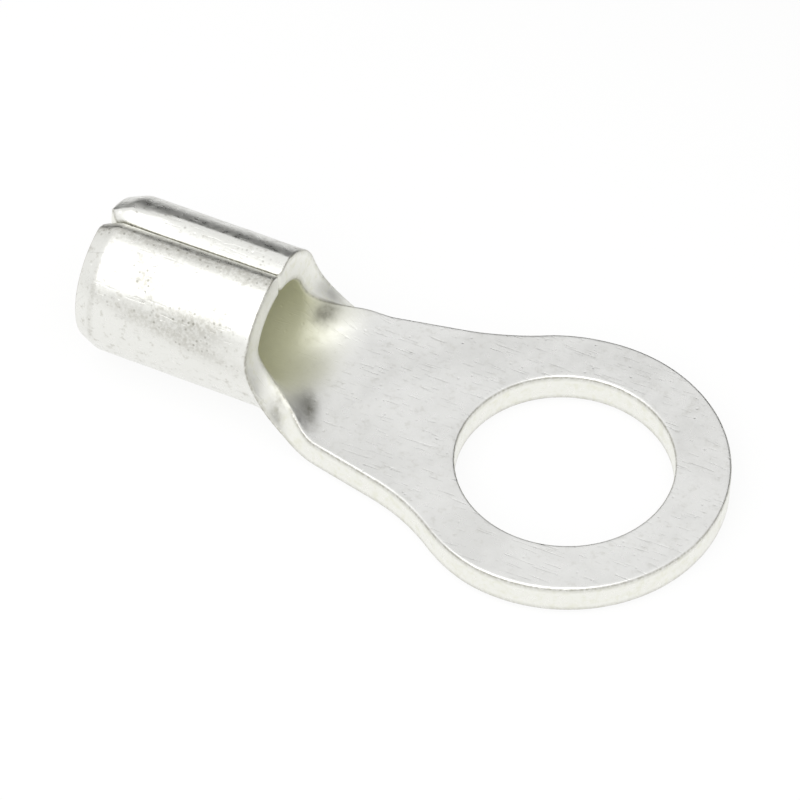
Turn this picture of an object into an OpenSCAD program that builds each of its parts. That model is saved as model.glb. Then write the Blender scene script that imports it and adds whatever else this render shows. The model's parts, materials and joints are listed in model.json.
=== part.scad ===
// Uninsulated ring terminal: a ring for a stud, a flat tongue and a rolled wire barrel,
// all stamped and folded from one tinned copper sheet.
// Origin: centre of the stud hole on the underside. +X points away from the barrel, +Z is the barrel's side.

/* [Sheet] */
// Thickness of the sheet
sheet_t = 0.8; // [0.5:0.05:0.9]

/* [Ring] */
// Diameter of the stud hole, which clears an M5 stud
stud_d = 5.3; // [4.3:0.1:5.8]
// Outside diameter of the ring
ring_d = 8; // [7:0.1:9]

/* [Tongue] */
// Width of the tongue at the end of its flat part
neck_w = 4.6; // [3.6:0.1:5]
// Angle between each edge of the tongue and the centre line, in degrees
taper = 12; // [6:1:15]
// Radius of the hollow curve from each edge of the tongue into the ring
ring_fillet = 6; // [3:0.5:9]

/* [Scoop] */
// Distance from the centre of the stud hole to the front edge of the barrel
stud_to_barrel = 7.6; // [7:0.1:10]
// Length over which the flat tongue bends up into the barrel
scoop_l = 1.95; // [1.5:0.05:2.4]
// Radius of the hollow curve from each edge of the tongue up to the front edge of the barrel
shoulder_r = 1; // [0.5:0.1:1.2]

/* [Barrel] */
// Diameter of the wire bore
bore_d = 2.4; // [2:0.1:2.8]
// Length of the barrel
barrel_l = 4.7; // [3:0.1:7]
// How far the barrel's wall reaches below the underside of the tongue
barrel_drop = 0.12; // [0:0.02:0.3]
// Length of the bevel round the wire entry, measured along the barrel
bevel_l = 0.5; // [0.2:0.05:1]
// Depth of that bevel, measured across the barrel
bevel_depth = 0.22; // [0.1:0.02:0.4]

/* [Seam] */
// Width of the slit that is left between the two butted edges
seam_gap = 0.05; // [0.02:0.01:0.15]
// Depth of the groove over the slit at the wire entry
groove_entry_depth = 0.3; // [0.1:0.02:0.4]
// Depth of the groove over the slit at the front edge of the barrel
groove_front_depth = 0.14; // [0.06:0.02:0.3]
// Opening angle of the groove, in degrees
groove_angle = 118; // [90:2:130]
// Width of the notch that the blank's cut corners leave at the wire entry
notch_w = 0.4; // [0.2:0.05:0.8]
// Length of that notch along the barrel
notch_l = 0.25; // [0.2:0.05:0.8]

/* [Hidden] */
$fn = 96;

barrel_d = bore_d + 2 * sheet_t;
barrel_front = -stud_to_barrel;
barrel_back = barrel_front - barrel_l;
flat_end = barrel_front + scoop_l;
// Curvature of the middle of the sheet where it is fully rolled
barrel_curvature = 2 / (bore_d + sheet_t);

// Steps round the shoulder curve, along the rest of the scoop and across it
shoulder_steps = 12;
scoop_steps = 10;
across_steps = 32;
// The scoop's ends run on as stubs inside the tongue and the barrel, a hair thinner than both
stub_l = 0.06;
stub_inset = 0.01;
// How far a cutter passes beyond what it cuts
past = 1;

// Unit vectors in the plan: along an edge of the tongue, and square to it
edge_along = [cos(taper), sin(taper)];
edge_out = [-sin(taper), cos(taper)];

// Half the width of the flat sheet at x, between its two straight tapering edges
function straight_half_width(x) = neck_w / 2 + (x - flat_end) * tan(taper);

// The ring fillet touches the tongue's straight edge and the ring's circle
fillet_out = straight_half_width(0) * cos(taper) + ring_fillet;
fillet_back = sqrt(pow(ring_d / 2 + ring_fillet, 2) - pow(fillet_out, 2));
fillet_centre = edge_out * fillet_out - edge_along * fillet_back;
fillet_on_edge = fillet_centre - edge_out * ring_fillet;
fillet_on_ring = fillet_centre * (ring_d / 2) / (ring_d / 2 + ring_fillet);

// The shoulder curve touches the tongue's straight edge and the barrel's front edge
shoulder_x = barrel_front + shoulder_r;
shoulder_s = straight_half_width(shoulder_x) + shoulder_r / cos(taper);
function shoulder_point(angle) =
    [shoulder_x - shoulder_r * sin(angle), shoulder_s - shoulder_r * cos(angle)];

// Stations of the scoop, each [x, half the width of the flat blank there], barrel end first
shoulder_end_x = shoulder_point(-taper)[0];
stations = concat(
    [for (i = [0:shoulder_steps]) shoulder_point(90 - (90 + taper) * i / shoulder_steps)],
    [for (i = [1:scoop_steps])
        let (x = shoulder_end_x + (flat_end - shoulder_end_x) * i / scoop_steps)
        [x, straight_half_width(x)]]
);

// Share of the way from the flat tongue to the rolled barrel, eased at both ends
function ease(u) = u * u * (3 - 2 * u);
function rolled(x) = 1 - ease(max(0, min(1, (x - barrel_front) / scoop_l)));

// Curvature of the sheet across the scoop: the barrel's at its front edge, none at the flat tongue
function curvature(x) = barrel_curvature * rolled(x);

// Point of a section bowed to curvature k: s along the sheet from its centre line,
// h above the middle of the sheet
function section_point(x, k, s, h) =
    let (
        straight = k < barrel_curvature / 1000,
        turn = k * s * 180 / PI,
        y = straight ? s : sin(turn) / k,
        z = straight ? 0 : (1 - cos(turn)) / k
    )
    [x, y - h * sin(turn), sheet_t / 2 - barrel_drop * rolled(x) + z + h * cos(turn)];

// One face of a section, from edge to edge: side is 1 for the top face and -1 for the underside
function section_row(x, k, half_width, inset, side) =
    [for (j = [0:across_steps])
        section_point(x, k, (half_width - inset) * (2 * j / across_steps - 1),
                      side * (sheet_t / 2 - inset))];

// All sections of one face of the scoop, with a stub at each end. The section at the barrel's
// front edge is inset too, so that its flat facets stay within the barrel's round wall.
function scoop_rows(side) = concat(
    [section_row(barrel_front - stub_l, barrel_curvature, stations[0][1], stub_inset, side)],
    [for (i = [0:len(stations) - 1])
        let (x = stations[i][0])
        section_row(x, curvature(x), stations[i][1], i == 0 ? stub_inset : 0, side)],
    [section_row(flat_end + stub_l, 0, neck_w / 2, stub_inset, side)]
);

// Closed solid between two grids of points that lie one over the other
module sheet_between(top, under) {
    rows = len(top);
    cols = len(top[0]);
    last = cols - 1;
    function t(i, j) = i * cols + j;
    function u(i, j) = rows * cols + i * cols + j;
    function quad(a, b, c, d) = [[a, b, c], [a, c, d]];
    polyhedron(
        points = concat([for (row = top) each row], [for (row = under) each row]),
        faces = concat(
            [for (i = [0:rows - 2], j = [0:last - 1])
                each quad(t(i, j), t(i, j + 1), t(i + 1, j + 1), t(i + 1, j))],
            [for (i = [0:rows - 2], j = [0:last - 1])
                each quad(u(i, j), u(i + 1, j), u(i + 1, j + 1), u(i, j + 1))],
            [for (i = [0:rows - 2]) each quad(t(i, 0), t(i + 1, 0), u(i + 1, 0), u(i, 0))],
            [for (i = [0:rows - 2]) each quad(t(i, last), u(i, last), u(i + 1, last), t(i + 1, last))],
            [for (j = [0:last - 1]) each quad(t(0, j), u(0, j), u(0, j + 1), t(0, j + 1))],
            [for (j = [0:last - 1])
                each quad(t(rows - 1, j), t(rows - 1, j + 1), u(rows - 1, j + 1), u(rows - 1, j))]
        )
    );
}

// Plan of the ring and the flat part of the tongue
module tongue_plan() {
    circle(d = ring_d);
    difference() {
        polygon([
            [flat_end, neck_w / 2], fillet_on_edge, fillet_on_ring,
            [fillet_on_ring[0], -fillet_on_ring[1]], [fillet_on_edge[0], -fillet_on_edge[1]],
            [flat_end, -neck_w / 2]
        ]);
        for (side = [-1, 1]) translate([fillet_centre[0], side * fillet_centre[1]]) circle(r = ring_fillet);
    }
}

module tongue() {
    difference() {
        linear_extrude(sheet_t) tongue_plan();
        translate([0, 0, -past]) cylinder(d = stud_d, h = sheet_t + 2 * past);
    }
}

// The stretch where the sheet bends up from flat to fully rolled
module scoop() {
    sheet_between(scoop_rows(1), scoop_rows(-1));
}

// Puts a shape drawn round Z, from 0 up, round the barrel's axis from its wire entry on.
// The shape's Y then points up.
module along_barrel() {
    translate([barrel_back, 0, barrel_d / 2 - barrel_drop]) rotate([90, 0, 90]) children();
}

// Everything outside the bevel's cone
module bevel_cutter() {
    reach = barrel_d;
    run = (reach + bevel_depth) * bevel_l / bevel_depth;
    rotate_extrude() polygon([
        [barrel_d / 2 - bevel_depth, -past], [barrel_d / 2 - bevel_depth, 0],
        [barrel_d / 2 + reach, run], [barrel_d / 2 + reach, -past]
    ]);
}

// V groove over the slit, shallower at the front edge than at the wire entry
module groove_cutter() {
    rise = 3 * barrel_d;
    half = rise * tan(groove_angle / 2);
    lean = atan((groove_entry_depth - groove_front_depth) / barrel_l);
    translate([0, barrel_d / 2 - groove_entry_depth, 0]) rotate([-lean, 0, 0]) translate([0, 0, -past])
        linear_extrude(barrel_l + 2 * past) polygon([[0, 0], [half, rise], [-half, rise]]);
}

// Slit between the butted edges, widened to a notch at the wire entry
module slit_cutter() {
    rotate([-90, 0, 0]) linear_extrude(barrel_d) {
        translate([-seam_gap / 2, -barrel_l - past]) square([seam_gap, barrel_l + 2 * past]);
        polygon([
            [-notch_w / 2, past], [-notch_w / 2, 0], [-seam_gap / 2, -notch_l],
            [seam_gap / 2, -notch_l], [notch_w / 2, 0], [notch_w / 2, past]
        ]);
    }
}

module barrel() {
    along_barrel() difference() {
        cylinder(d = barrel_d, h = barrel_l);
        translate([0, 0, -past]) cylinder(d = bore_d, h = barrel_l + 2 * past);
        bevel_cutter();
        groove_cutter();
        slit_cutter();
    }
}

module ring_terminal() {
    color("gainsboro") {
        tongue();
        scoop();
        barrel();
    }
}

ring_terminal();
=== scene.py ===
"""Looks of the ring terminal: one stamped, rolled and tin-plated sheet, lying on a white table."""

import json
import math

import bpy
import numpy as np
from mathutils import Matrix, Vector, geometry, noise


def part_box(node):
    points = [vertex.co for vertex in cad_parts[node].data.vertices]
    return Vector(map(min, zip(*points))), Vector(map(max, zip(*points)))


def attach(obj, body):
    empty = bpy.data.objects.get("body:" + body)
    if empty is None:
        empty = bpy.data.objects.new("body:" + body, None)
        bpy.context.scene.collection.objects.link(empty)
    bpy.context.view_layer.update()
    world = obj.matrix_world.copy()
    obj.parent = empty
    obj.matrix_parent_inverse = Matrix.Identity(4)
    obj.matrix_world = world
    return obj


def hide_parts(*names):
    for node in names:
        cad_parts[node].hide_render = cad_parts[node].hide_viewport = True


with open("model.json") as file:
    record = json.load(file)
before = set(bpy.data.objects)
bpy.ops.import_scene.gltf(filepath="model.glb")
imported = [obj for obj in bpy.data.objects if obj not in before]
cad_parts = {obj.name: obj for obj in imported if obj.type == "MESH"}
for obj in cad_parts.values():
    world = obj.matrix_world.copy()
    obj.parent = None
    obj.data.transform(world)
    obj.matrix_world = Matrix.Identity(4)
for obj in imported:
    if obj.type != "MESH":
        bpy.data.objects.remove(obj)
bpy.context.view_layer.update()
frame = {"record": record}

MM = 0.001

# ---------------------------------------------------------------- sizes, in millimetres
mounts = {m["name"]: m for m in frame["record"]["mounts"]}
box_lo, box_hi = (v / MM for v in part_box("ring_terminal"))

STUD_R = mounts["stud_hole"]["dims"]["r_mm"]
SHEET_T = mounts["stud_hole"]["dims"]["length_mm"]
BORE_R = mounts["wire_barrel"]["dims"]["r_mm"]
BARREL_L = mounts["wire_barrel"]["dims"]["length_mm"]
RING_R = box_hi.x
BARREL_BACK = box_lo.x
BARREL_FRONT = BARREL_BACK + BARREL_L
ROLL_R = BORE_R + SHEET_T / 2            # radius of the sheet's middle in the barrel
CURVATURE = 1 / ROLL_R

BARREL_DROP = -box_lo.z                  # how far the barrel hangs below the tongue
NECK_W = 4.6                             # width of the tongue where the scoop starts
TAPER = math.radians(12)                 # slope of the tongue's sides
RING_FILLET = 6.0                        # between the tongue and the ring
SCOOP_L = 1.95                           # length over which the sheet rolls up
SHOULDER_R = 1.0                         # inner corner between the tongue and the wings
FLAT_END = BARREL_FRONT + SCOOP_L        # where the tongue is flat

SEAM_GAP = 0.008                         # half the gap between the two edges that butt
SEAM_SHIFT = 0.05                        # the seam lies this far over the centre
NOTCH_W, NOTCH_L = 0.20, 0.25            # half-width and length of the vee at the wire entry
BEVEL_L, BEVEL_DEPTH = 0.50, 0.20        # the drawn-in edge at the wire entry
GROOVE_DEPTH = (0.28, 0.22)              # the seam's groove at the wire entry and at the front
GROOVE_NEAR = (0.42, 0.33)               # width of its rounded wall on the -Y side, across the sheet
GROOVE_FAR = (0.15, 0.41)                # width of its steep wall on the +Y side
CORNER_R = 0.135                         # the outline's corners, more than the last of EDGE_OFFSETS
SKEW = 0.13                              # sideways shear of the tongue, to +Y
SKEW_START_L = 1.3                       # it comes in over this length in front of the barrel
SKEW_HOLE_L = 0.9                        # and over this length round the hole
SKEW_END, SKEW_END_L = -3.4, 3.0         # and goes out from here on, over this length
WAVE, WAVE_H = 1.3, 0.012                # size and height of the sheet's soft waves
RIPPLE, RIPPLE_H = 0.45, 0.003
CALM_RIM = 0.25                          # the waves die out over this width at each edge

# Dark reflections painted as dull patches on the barrel's outside: x, s, half-length, half-width, slope,
# strength
PAINTED_REFLECTIONS_OUTSIDE = (
    (-10.60, -3.90, 0.42, 0.30, 0.20, 0.90),
    (-9.15, -3.40, 0.90, 0.26, 0.10, 0.75),
    (-9.70, -3.05, 2.00, 0.20, 0.14, 0.60),
    (-8.60, -3.70, 0.50, 0.25, 0.10, 0.50),
)

# Dark reflections painted inside the wings, in the same terms
PAINTED_REFLECTIONS_INSIDE = (
    (-6.20, -1.50, 0.34, 0.42, -0.90, 0.90),
    (-7.05, 1.90, 0.26, 0.40, 0.00, 0.85),
)

ROLL_TOP, ROLL_BOTTOM = 0.075, 0.05      # the rounding of the cut edges
GRID = 0.085                             # spacing of the mesh inside the sheet
GRID_REACH = 6                           # half the width of the grid, more than half the blank's
GRID_JITTER = 0.12                       # share of the spacing by which the grid's points are moved
GRID_CLEAR = 0.55                        # share of the spacing that the grid keeps from the rims
EDGE_STEP = 0.055                        # spacing of the mesh along the edges
CORNER_STEP = 0.02                       # and round the outline's corners
EDGE_OFFSETS = (0.0, 0.006, 0.02, 0.042, 0.075, 0.13)    # distance of each row of points from the edge
WALL_ROWS = 6                            # rows of faces on the cut edge


# ---------------------------------------------------------------- the flat blank
def arc(centre, radius, start, end, step=EDGE_STEP):
    """Points on an arc from the start angle to the end angle, in radians."""
    count = max(3, int(abs(end - start) * radius / step) + 1)
    return [(centre[0] + radius * math.cos(a), centre[1] + radius * math.sin(a))
            for a in np.linspace(start, end, count)]


def rounded(corners, radius):
    """An arc for each inner corner of the open, counter-clockwise line."""
    for before, here, after in zip(corners, corners[1:], corners[2:]):
        before, here, after = (np.array(p, float) for p in (before, here, after))
        u, v = before - here, after - here
        u, v = u / np.linalg.norm(u), v / np.linalg.norm(v)
        half = math.acos(u @ v) / 2
        centre = here + (u + v) / np.linalg.norm(u + v) * radius / math.sin(half)
        start = here + u * radius / math.tan(half) - centre
        first = math.atan2(start[1], start[0])
        yield arc(centre, radius, first, first + math.pi - 2 * half, CORNER_STEP)


def half_outline():
    """Corners and arcs of the blank's edge on its +s side, from the ring's tip to the wire entry."""
    along = np.array([math.cos(TAPER), math.sin(TAPER)])
    out = np.array([-math.sin(TAPER), math.cos(TAPER)])

    def half_width(x):
        return NECK_W / 2 + (x - FLAT_END) * math.tan(TAPER)

    fillet_out = half_width(0) * math.cos(TAPER) + RING_FILLET
    fillet_back = math.sqrt((RING_R + RING_FILLET) ** 2 - fillet_out ** 2)
    centre = out * fillet_out - along * fillet_back
    towards_ring = math.atan2(-centre[1], -centre[0])
    towards_edge = math.atan2(-out[1], -out[0])
    ring_end = math.atan2(centre[1], centre[0])
    points = arc((0, 0), RING_R, 0, ring_end)
    points += arc(centre, RING_FILLET, towards_ring, towards_edge)[1:]
    shoulder_x = BARREL_FRONT + SHOULDER_R
    shoulder = (shoulder_x, half_width(shoulder_x) + SHOULDER_R / math.cos(TAPER))
    points += arc(shoulder, SHOULDER_R, -math.pi / 2 + TAPER, -math.pi)
    seam = math.pi * ROLL_R - SEAM_GAP
    for corner in rounded([points[-1], (BARREL_FRONT, seam), (BARREL_BACK + NOTCH_L, seam),
                           (BARREL_BACK, seam - NOTCH_W), (BARREL_BACK, 0)], CORNER_R):
        points += corner
    return points + [(BARREL_BACK, 0)]


def resample(points, step):
    """The closed outline with no side longer than step."""
    result = []
    for (x0, y0), (x1, y1) in zip(points, points[1:] + points[:1]):
        count = max(1, math.ceil(math.hypot(x1 - x0, y1 - y0) / step - 1e-6))
        result += [(x0 + (x1 - x0) * i / count, y0 + (y1 - y0) * i / count) for i in range(count)]
    return np.array(result)


def offset_loop(loop, distance):
    """The closed, counter-clockwise loop moved inwards."""
    before, after = np.roll(loop, 1, 0), np.roll(loop, -1, 0)
    tangent = after - before
    tangent /= np.linalg.norm(tangent, axis=1)[:, None]
    inward = np.stack([-tangent[:, 1], tangent[:, 0]], 1)
    return loop + inward * distance


upper = half_outline()
outline = upper + [(x, -s) for x, s in reversed(upper[1:-1])]
outer = resample(outline, EDGE_STEP)
stud_count = int(2 * math.pi * STUD_R / EDGE_STEP)
stud = np.array([(STUD_R * math.cos(a), -STUD_R * math.sin(a))
                 for a in np.linspace(0, 2 * math.pi, stud_count, endpoint=False)])


def inside(points, loop):
    """Which points lie inside the closed loop."""
    x, y = points[:, 0], points[:, 1]
    hit = np.zeros(len(points), bool)
    for (x0, y0), (x1, y1) in zip(loop, np.roll(loop, -1, 0)):
        if y0 == y1:
            continue
        crosses = ((y0 > y) != (y1 > y)) & (x < (x1 - x0) * (y - y0) / (y1 - y0) + x0)
        hit ^= crosses
    return hit


def edge_distance(points, loops):
    """Distance of each point to the nearest side of the loops."""
    best = np.full(len(points), 1e9)
    for loop in loops:
        for a, b in zip(loop, np.roll(loop, -1, 0)):
            ab = b - a
            near = (points[:, 0] > min(a[0], b[0]) - 1) & (points[:, 0] < max(a[0], b[0]) + 1)
            p = points[near] - a
            t = np.clip((p @ ab) / max(ab @ ab, 1e-12), 0, 1)
            d = np.linalg.norm(p - t[:, None] * ab, axis=1)
            best[near] = np.minimum(best[near], d)
    return best


rims = [[offset_loop(loop, d) for d in EDGE_OFFSETS] for loop in (outer, stud)]
random = np.random.default_rng(7)
row_h = GRID * math.sqrt(3) / 2
rows = np.arange(-GRID_REACH, GRID_REACH, row_h)
grid = np.array([(x + (i % 2) * GRID / 2, y) for i, y in enumerate(rows)
                 for x in np.arange(BARREL_BACK, RING_R, GRID)])
grid += random.uniform(-GRID_JITTER, GRID_JITTER, grid.shape) * GRID
grid = grid[inside(grid, rims[0][-1]) & ~inside(grid, rims[1][-1][::-1])]
grid = grid[edge_distance(grid, [rims[0][-1], rims[1][-1]]) > GRID * GRID_CLEAR]

# One face of the sheet: the rims' rows are quads, and triangles fill what is inside them.
plan, quads, depth_of = [], [], []
innermost = []
for loops in rims:
    count = len(loops[0])
    start = len(plan)
    for offset, loop in zip(EDGE_OFFSETS, loops):
        plan += [tuple(p) for p in loop]
        depth_of += [offset] * count
    for r in range(len(EDGE_OFFSETS) - 1):
        a, b = start + r * count, start + (r + 1) * count
        quads += [(a + i, a + (i + 1) % count, b + (i + 1) % count, b + i) for i in range(count)]
    last = start + (len(EDGE_OFFSETS) - 1) * count
    innermost.append(list(range(last, last + count)))
fill_ids = innermost[0] + innermost[1]
grid_start = len(plan)
plan += [tuple(p) for p in grid]
depth_of += list(edge_distance(grid, [outer, stud]))
fill_ids += list(range(grid_start, len(plan)))
edges, at = [], 0
for ids in innermost:
    edges += [(at + i, at + (i + 1) % len(ids)) for i in range(len(ids))]
    at += len(ids)
flat = [Vector(plan[i]) for i in fill_ids]
verts2, _, faces2, orig, _, _ = geometry.delaunay_2d_cdt(flat, edges, [], 0, 1e-9)
assert len(verts2) == len(flat)
centres = np.array([sum((verts2[i] for i in f), Vector((0, 0))) / len(f) for f in faces2])
keep = inside(centres, rims[0][-1]) & ~inside(centres, rims[1][-1][::-1])
back_to_plan = [fill_ids[o[0]] for o in orig]
triangles = [tuple(back_to_plan[i] for i in f) for f, k in zip(faces2, keep) if k]
plan = np.array(plan)
depth_of = np.array(depth_of)


# ---------------------------------------------------------------- bending the blank
def ease(u):
    """0 to 1 with soft ends."""
    u = np.clip(u, 0, 1)
    return u * u * (3 - 2 * u)


def rolled(x):
    """1 in the barrel, 0 in the flat tongue."""
    return 1 - ease((x - BARREL_FRONT) / SCOOP_L)


def curvature(x):
    """Curvature of the sheet across the part."""
    return CURVATURE * rolled(x)


def skew(x, s):
    """Sideways shift of the tongue. The hole stays where it is."""
    from_barrel = ease((x - BARREL_FRONT) / SKEW_START_L)
    from_hole = ease((np.hypot(x, s) - STUD_R) / SKEW_HOLE_L)
    before_ring = 1 - ease((x - SKEW_END) / SKEW_END_L)
    return SKEW * from_barrel * from_hole * before_ring


def bend(x, s, h):
    """Points of the bent sheet, h above the sheet's middle on the side that becomes the bore."""
    k = np.maximum(curvature(x), 1e-6)
    shift = SEAM_SHIFT * rolled(x)
    turn = k * (s - shift * np.abs(s) / (math.pi * ROLL_R))
    y = np.sin(turn) / k + skew(x, s)
    z = (1 - np.cos(turn)) / k - BARREL_DROP * rolled(x)
    return np.stack([x, y - h * np.sin(turn), SHEET_T / 2 + z + h * np.cos(turn)], 1)


def rounding(depth, radius):
    """How far a face falls at this distance from its rounded rim."""
    u = np.clip(1 - depth / radius, 0, 1)
    return radius * (1 - np.sqrt(np.maximum(1 - u * u, 0)))


def smooth_noise(points, scale, seed):
    """Soft noise in -1..1 at each point of the blank."""
    offset = Vector((seed * 17.3, seed * 5.1, seed * 9.7))
    return np.array([noise.noise(Vector((p[0], p[1], 0)) / scale + offset) for p in points])


def groove(x, s):
    """Depth of the seam's groove in the barrel's outside."""
    along = np.clip((x - BARREL_BACK) / BARREL_L, 0, 1)
    wobble = smooth_noise(np.stack([x, x * 0], 1), 0.7, 5)
    depth, near_w = (v[0] + (v[1] - v[0]) * along for v in (GROOVE_DEPTH, GROOVE_NEAR))
    far_w = GROOVE_FAR[0] + (GROOVE_FAR[1] - GROOVE_FAR[0]) * ease(along / 0.4)
    gap = math.pi * ROLL_R - np.abs(s)
    near = np.clip(1 - gap / (near_w * (1 + 0.18 * wobble)), 0, 1)
    far = np.clip(1 - gap / (far_w * (1 + 0.08 * wobble)), 0, 1)
    wall = np.where(s < 0, near ** 1.35, far)
    return depth * wall * (x < BARREL_FRONT + 0.02)


def entry(x):
    """How far the barrel's outside is drawn in at the wire entry."""
    u = np.clip(1 - (x - BARREL_BACK) / BEVEL_L, 0, 1)
    return BEVEL_DEPTH * u ** 1.2


x, s = plan[:, 0], plan[:, 1]
count = len(plan)
in_barrel = rolled(x - 0.2)
wave = smooth_noise(plan, WAVE, 1) * WAVE_H + smooth_noise(plan, RIPPLE, 2) * RIPPLE_H
calm = 1 - ease(1 - depth_of / CALM_RIM)
inner_h = SHEET_T / 2 - rounding(depth_of, ROLL_TOP) - (WAVE_H + wave) * 0.5 * calm * (1 - in_barrel)
outer_h = -SHEET_T / 2 + rounding(depth_of, ROLL_BOTTOM)
outer_h += (groove(x, s) + entry(x)) + (WAVE_H + wave * in_barrel) * 0.6 * calm
inner = bend(x, s, inner_h)
under = bend(x, s, outer_h)

# The cut edge between the two faces
points, faces = [inner, under], [tuple(q) for q in quads + triangles]
faces += [tuple(count + i for i in reversed(q)) for q in quads + triangles]
walls = []
total = 2 * count
side_of = [np.ones(count), np.zeros(count)]
wall_of = [np.zeros(count), np.zeros(count)]
start = 0
for loops in rims:
    n = len(loops[0])
    top_ids = list(range(start, start + n))
    bottom_ids = [count + i for i in top_ids]
    lx, ls = x[top_ids], s[top_ids]
    previous = top_ids
    for r in range(1, WALL_ROWS):
        f = r / WALL_ROWS
        h = inner_h[top_ids] * (1 - f) + outer_h[top_ids] * f
        points.append(bend(lx, ls, h))
        side_of.append(np.full(n, 1 - f))
        wall_of.append(np.ones(n))
        ids = list(range(total, total + n))
        total += n
        faces += [(previous[i], ids[i], ids[(i + 1) % n], previous[(i + 1) % n]) for i in range(n)]
        previous = ids
    faces += [(previous[i], bottom_ids[i], bottom_ids[(i + 1) % n], previous[(i + 1) % n]) for i in range(n)]
    walls += top_ids + bottom_ids
    start += n * len(EDGE_OFFSETS)
points = np.concatenate(points)
side_of = np.concatenate(side_of)
wall_of = np.concatenate(wall_of)
wall_of[walls] = 0.5
points = np.clip(points, np.array(box_lo) + 1e-4, np.array(box_hi) - 1e-4)

blank_xs = [plan, plan]
start = 0
for loops in rims:
    n = len(loops[0])
    blank_xs += [plan[start:start + n]] * (WALL_ROWS - 1)
    start += n * len(EDGE_OFFSETS)
blank_xs = np.concatenate(blank_xs)
rim_of = np.concatenate([depth_of, depth_of, np.zeros(len(points) - 2 * count)])

mesh = bpy.data.meshes.new("terminal")
mesh.from_pydata((points * MM).tolist(), [], faces)
mesh.validate()
mesh.update()
mesh.shade_smooth()


def attribute(name, values):
    """Keeps one number at each point for the material."""
    layer = mesh.attributes.new(name, "FLOAT", "POINT")
    layer.data.foreach_set("value", np.asarray(values, np.float32))


attribute("rim_mm", rim_of)
attribute("wall", wall_of)

bx, bs = blank_xs[:, 0], blank_xs[:, 1]
outside = (1 - side_of) * rolled(bx)


def blotches(marks):
    """Sum of the soft marks at each point."""
    total = np.zeros(len(points))
    for mark_x, mark_s, half_l, half_w, slope, strength in marks:
        along = (bx - mark_x) / half_l
        across = (bs - mark_s - slope * (bx - mark_x)) / half_w
        total += strength * np.exp(-along ** 2 - across ** 2)
    return total


# Painted dark reflections on the barrel's outside, where the dark specks gather too
stain = blotches(PAINTED_REFLECTIONS_OUTSIDE)
# Painted shade on the near wing's cut edge, kept with the painted dark reflections inside the wings
painted_cut_shade = 0.6 * np.exp(-((bx + 6.75) / 0.2) ** 2) * (wall_of > 0.9) * (bs < -2)
attribute("shade", np.clip(blotches(PAINTED_REFLECTIONS_INSIDE) * side_of * (wall_of < 0.9) + painted_cut_shade, 0, 1))
# A grey band painted along the near wall of the seam's groove, and a line along the crease behind the
# drawn-in entry: painted shade in these hollows
seam_mm = np.where(bs < 0, math.pi * ROLL_R + bs, 9.0)
stain += 0.8 * np.exp(-((seam_mm - 0.30) / 0.24) ** 2)
crease = (bx - BARREL_BACK - BEVEL_L) / 0.06
stain += 0.4 * np.exp(-crease ** 2) * (np.abs(bs + 3.1) < 0.9)
attribute("stain", np.clip(stain, 0, 1) * outside)
attribute("barrel", outside)
# Zones on the inside: the bore, painted darker as painted shade, and the scoop, painted lighter as a painted
# highlight
attribute("bore", side_of * rolled(bx + 0.25))
attribute("scoop", side_of * ease(2.2 * rolled(bx - 0.2)))

terminal = bpy.data.objects.new("terminal", mesh)
bpy.context.scene.collection.objects.link(terminal)
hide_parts("ring_terminal")
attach(terminal, "root")


# ---------------------------------------------------------------- materials
def nodes_of(name):
    """A new material and its empty node tree."""
    material = bpy.data.materials.new(name)
    material.use_nodes = True
    tree = material.node_tree
    tree.nodes.clear()
    return material, tree


class Maker:
    """Short ways to add nodes to one tree."""

    def __init__(self, tree):
        self.tree = tree

    def add(self, kind, **settings):
        node = self.tree.nodes.new(kind)
        for name, value in settings.items():
            setattr(node, name, value)
        return node

    def put(self, value, socket):
        if isinstance(value, bpy.types.NodeSocket):
            self.tree.links.new(value, socket)
        else:
            socket.default_value = value

    def math(self, operation, a, b=0.0, clamp=False):
        node = self.add("ShaderNodeMath", operation=operation, use_clamp=clamp)
        self.put(a, node.inputs[0])
        self.put(b, node.inputs[1])
        return node.outputs[0]

    def remap(self, value, low, high, to_low=0.0, to_high=1.0):
        node = self.add("ShaderNodeMapRange", interpolation_type="SMOOTHSTEP")
        for socket, item in zip(node.inputs, (value, low, high, to_low, to_high)):
            self.put(item, socket)
        return node.outputs[0]

    def mix(self, factor, a, b):
        node = self.add("ShaderNodeMix", data_type="RGBA")
        self.put(factor, node.inputs[0])
        self.put(a, node.inputs[6])
        self.put(b, node.inputs[7])
        return node.outputs[2]

    def noise(self, where, size_mm, detail=3.0, roughness=0.5, distortion=0.0):
        node = self.add("ShaderNodeTexNoise")
        self.put(where, node.inputs["Vector"])
        self.put(1 / size_mm, node.inputs["Scale"])
        self.put(detail, node.inputs["Detail"])
        self.put(roughness, node.inputs["Roughness"])
        self.put(distortion, node.inputs["Distortion"])
        return node.outputs["Fac"]

    def voronoi(self, where, size_mm):
        node = self.add("ShaderNodeTexVoronoi", feature="F1")
        self.put(where, node.inputs["Vector"])
        self.put(1 / size_mm, node.inputs["Scale"])
        return node.outputs["Distance"]


def colour(r, g, b):
    return (r, g, b, 1.0)


material, tree = nodes_of("tin_plating")
m = Maker(tree)
rim = m.add("ShaderNodeAttribute", attribute_name="rim_mm").outputs["Fac"]
wall = m.add("ShaderNodeAttribute", attribute_name="wall").outputs["Fac"]
coordinates = m.add("ShaderNodeTexCoord").outputs["Object"]
scaled = m.add("ShaderNodeVectorMath", operation="SCALE")
m.put(coordinates, scaled.inputs[0])
m.put(1 / MM, scaled.inputs["Scale"])
place = scaled.outputs[0]

stain_and_shade_mask, barrel, bore, scoop, shade = (m.add("ShaderNodeAttribute", attribute_name=name).outputs["Fac"]
                                for name in ("stain", "barrel", "bore", "scoop", "shade"))


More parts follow.
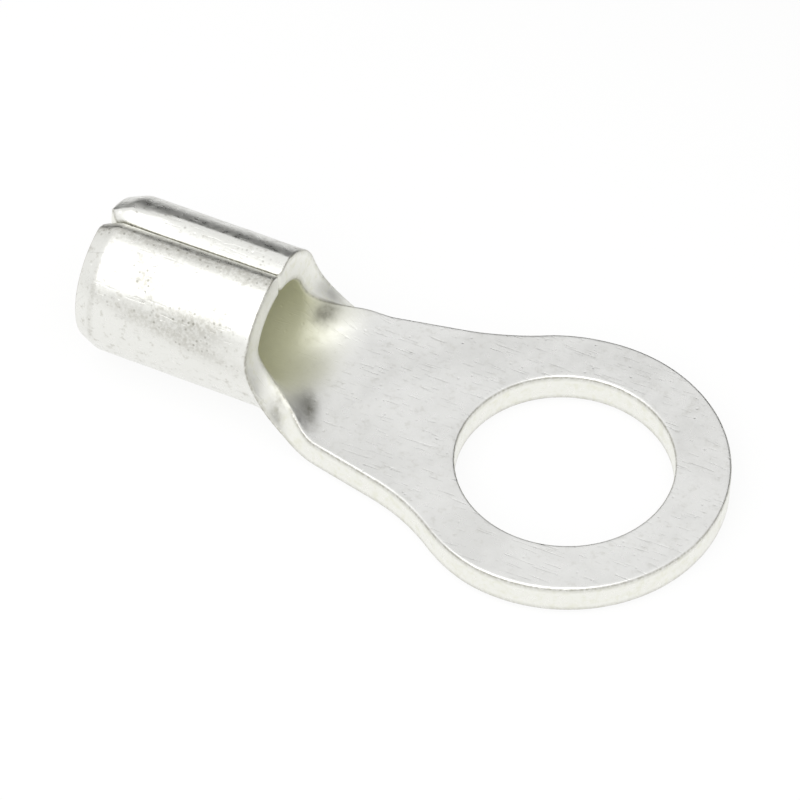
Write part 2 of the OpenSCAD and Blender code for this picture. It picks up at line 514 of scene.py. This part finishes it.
def scratches(angle, size_mm):
    """Fine lines that run one way across the sheet."""
    mapping = m.add("ShaderNodeMapping")
    m.put(place, mapping.inputs["Vector"])
    mapping.inputs["Rotation"].default_value = (0, 0, angle)
    mapping.inputs["Scale"].default_value = (1, 14, 1)
    return m.remap(m.noise(mapping.outputs[0], size_mm, 2.0), 0.66, 0.71)


cloud = m.noise(place, 1.6, 4.0, 0.55, 0.3)
mottle = m.noise(place, 0.22, 4.0, 0.65)
fine = m.noise(place, 0.09, 3.0, 0.6)
grain = m.noise(place, 0.05, 3.0, 0.6)
lines = m.math("MAXIMUM", scratches(0.5, 1.1), scratches(1.9, 0.8))
lines = m.math("MAXIMUM", lines, scratches(-0.6, 0.9))
base = m.mix(m.remap(cloud, 0.35, 0.65), colour(0.77, 0.77, 0.752), colour(0.84, 0.84, 0.822))
base = m.mix(m.math("MULTIPLY", barrel, 0.8), base, colour(0.85, 0.85, 0.81))
much = m.math("ADD", m.math("MULTIPLY", barrel, 0.40), 0.28)
base = m.mix(m.math("MULTIPLY", m.remap(mottle, 0.54, 0.72), much), base, colour(0.56, 0.55, 0.50))
base = m.mix(m.math("MULTIPLY", lines, 0.22), base, colour(0.58, 0.58, 0.55))
# The barrel's painted dark reflections and painted shade, broken up by fine noise
patch_darkening = m.math("MULTIPLY", stain_and_shade_mask, m.remap(fine, 0.36, 0.62, 0.40, 0.95))
base = m.mix(patch_darkening, base, colour(0.45, 0.44, 0.39))
specks = m.remap(m.voronoi(place, 0.17), 0.10, 0.26, 1.0, 0.0)
where = m.math("ADD", m.math("MULTIPLY", stain_and_shade_mask, 0.9), m.remap(cloud, 0.50, 0.66, 0.0, 0.40))
where = m.math("MULTIPLY", where, m.math("ADD", m.math("MULTIPLY", barrel, 0.85), 0.15))
base = m.mix(m.math("MULTIPLY", specks, where, True), base, colour(0.24, 0.23, 0.19))
# The scoop is painted lighter: a painted highlight
base = m.mix(m.math("MULTIPLY", scoop, 0.30), base, colour(0.93, 0.93, 0.90))
# The bore's inside is painted darker and more olive than the rest, and is made less metallic below: painted
# shade inside the tube
base = m.mix(bore, base, colour(0.66, 0.66, 0.50))
# A thin dark line painted along the rims of both faces: painted shade on the rounded edges, broken up by
# fine noise
arris = m.math("MULTIPLY", m.remap(rim, 0.0, 0.05, 0.80, 0.0), m.remap(fine, 0.35, 0.60, 0.45, 1.0))
base = m.mix(arris, base, colour(0.33, 0.32, 0.26))
edge_metal = m.mix(m.remap(mottle, 0.45, 0.70), colour(0.88, 0.88, 0.83), colour(0.83, 0.83, 0.74))
base = m.mix(wall, base, edge_metal)
# The painted dark reflections inside the wings and the painted shade on the cut edge
dark = m.math("MULTIPLY", shade, m.remap(mottle, 0.3, 0.65, 0.75, 1.0))
base = m.mix(dark, base, colour(0.13, 0.125, 0.10))

pits = m.remap(m.voronoi(place, 0.30), 0.05, 0.16, 1.0, 0.0)
height = m.math("MULTIPLY", mottle, 0.5)
height = m.math("ADD", height, m.math("MULTIPLY", grain, 0.18))
height = m.math("SUBTRACT", height, m.math("MULTIPLY", pits, 0.5))
height = m.math("SUBTRACT", height, m.math("MULTIPLY", lines, 0.25))
bump = m.add("ShaderNodeBump")
m.put(0.75, bump.inputs["Strength"])
m.put(0.014 * MM, bump.inputs["Distance"])
m.put(height, bump.inputs["Height"])

rough = m.remap(mottle, 0.3, 0.7, 0.26, 0.40)
rough = m.math("ADD", rough, m.math("MULTIPLY", scoop, 0.06))
rough = m.math("ADD", rough, m.math("MULTIPLY", bore, 0.25))
shader = m.add("ShaderNodeBsdfPrincipled")
m.put(base, shader.inputs["Base Color"])
# Less metal in the bore, part of its painted shade
m.put(m.math("SUBTRACT", 1.0, m.math("MULTIPLY", bore, 0.45)), shader.inputs["Metallic"])
m.put(rough, shader.inputs["Roughness"])
m.put(bump.outputs[0], shader.inputs["Normal"])
m.put(shader.outputs[0], m.add("ShaderNodeOutputMaterial").inputs["Surface"])
mesh.materials.append(material)

# ---------------------------------------------------------------- floor, light and camera
SUBJECT = Vector((-4.04, -0.72, 1.71)) * MM        # what the camera's axis passes through
CAMERA_AZIMUTH, CAMERA_ELEVATION = math.radians(25.54), math.radians(48.75)
CAMERA_DISTANCE = 105.5 * MM
LENS, SENSOR = 198.0, 36.0

FLOOR_R = 900 * MM
FLOOR_Z = (box_lo.z - 0.002) * MM        # a hair below the barrel
FLOOR_SIDES = 96
FLOOR_WHITE = 0.86                       # share of plain white in what camera and reflections see
WORLD_STRENGTH = 0.93
KEY_RADIANCE = 1.02

floor_mesh = bpy.data.meshes.new("floor")
angles = [2 * math.pi * i / FLOOR_SIDES for i in range(FLOOR_SIDES)]
floor_mesh.from_pydata([(FLOOR_R * math.cos(a), FLOOR_R * math.sin(a), FLOOR_Z) for a in angles],
                       [], [tuple(range(FLOOR_SIDES))])
floor = bpy.data.objects.new("floor", floor_mesh)
bpy.context.scene.collection.objects.link(floor)

floor_material, tree = nodes_of("white_table")
f = Maker(tree)
rays = f.add("ShaderNodeLightPath")
seen = f.math("MAXIMUM", rays.outputs["Is Camera Ray"], rays.outputs["Is Glossy Ray"])
seen = f.math("MAXIMUM", seen, rays.outputs["Is Transmission Ray"])
matte = f.add("ShaderNodeBsdfDiffuse")
matte.inputs["Color"].default_value = colour(0.92, 0.92, 0.91)
white = f.add("ShaderNodeEmission")
white.inputs["Color"].default_value = colour(1, 1, 1)
white.inputs["Strength"].default_value = 1.0
both = f.add("ShaderNodeMixShader")
f.put(f.math("MULTIPLY", seen, FLOOR_WHITE), both.inputs[0])
f.put(matte.outputs[0], both.inputs[1])
f.put(white.outputs[0], both.inputs[2])
f.put(both.outputs[0], f.add("ShaderNodeOutputMaterial").inputs["Surface"])
floor_mesh.materials.append(floor_material)

world = bpy.data.worlds.new("studio")
bpy.context.scene.world = world
world.use_nodes = True
world.node_tree.nodes["Background"].inputs["Color"].default_value = colour(1.0, 1.0, 1.0)
world.node_tree.nodes["Background"].inputs["Strength"].default_value = WORLD_STRENGTH


def softbox(name, place_mm, aim_mm, size_mm, radiance):
    """A square area lamp of a given brightness as seen from the part."""
    lamp = bpy.data.lights.new(name, "AREA")
    lamp.shape = "RECTANGLE"
    lamp.size, lamp.size_y = (v * MM for v in size_mm)
    lamp.energy = radiance * math.pi * lamp.size * lamp.size_y
    thing = bpy.data.objects.new(name, lamp)
    bpy.context.scene.collection.objects.link(thing)
    start_at, end_at = Vector(place_mm) * MM, Vector(aim_mm) * MM
    thing.location = start_at
    thing.rotation_mode = "QUATERNION"
    thing.rotation_quaternion = (end_at - start_at).to_track_quat("-Z", "Y")
    return thing


softbox("key", (-6, -95, 150), (-4, 0, 0), (260, 215), KEY_RADIANCE)


def flag(name, lower_left_mm, lower_right_mm, height_mm):
    """A black card that stands on the table, which only reflections see."""
    a, b = Vector(lower_left_mm) * MM, Vector(lower_right_mm) * MM
    up = Vector((0, 0, height_mm)) * MM
    card_mesh = bpy.data.meshes.new(name)
    card_mesh.from_pydata([a, b, b + up, a + up], [], [(0, 1, 2, 3)])
    card = bpy.data.objects.new(name, card_mesh)
    bpy.context.scene.collection.objects.link(card)
    card.visible_camera = False
    card.visible_shadow = False
    card_material, card_tree = nodes_of(name)
    c = Maker(card_tree)
    black = c.add("ShaderNodeBsdfDiffuse")
    black.inputs["Color"].default_value = colour(0.03, 0.03, 0.028)
    c.put(black.outputs[0], c.add("ShaderNodeOutputMaterial").inputs["Surface"])
    card_mesh.materials.append(card_material)


flag("flag_behind", (-60, 24, 0), (50, 24, 0), 13)

camera_data = bpy.data.cameras.new("camera")
camera_data.sensor_width = SENSOR
camera_data.lens = LENS
camera_data.clip_start, camera_data.clip_end = 1 * MM, 5.0
camera = bpy.data.objects.new("camera", camera_data)
bpy.context.scene.collection.objects.link(camera)
back = Vector((math.sin(CAMERA_AZIMUTH) * math.cos(CAMERA_ELEVATION),
               -math.cos(CAMERA_AZIMUTH) * math.cos(CAMERA_ELEVATION), math.sin(CAMERA_ELEVATION)))
right = Vector((math.cos(CAMERA_AZIMUTH), math.sin(CAMERA_AZIMUTH), 0))
turn = Matrix((right, back.cross(right), back)).transposed().to_4x4()
turn.translation = SUBJECT + back * CAMERA_DISTANCE
camera.matrix_world = turn
bpy.context.scene.camera = camera

bpy.context.scene.view_settings.view_transform = "Standard"
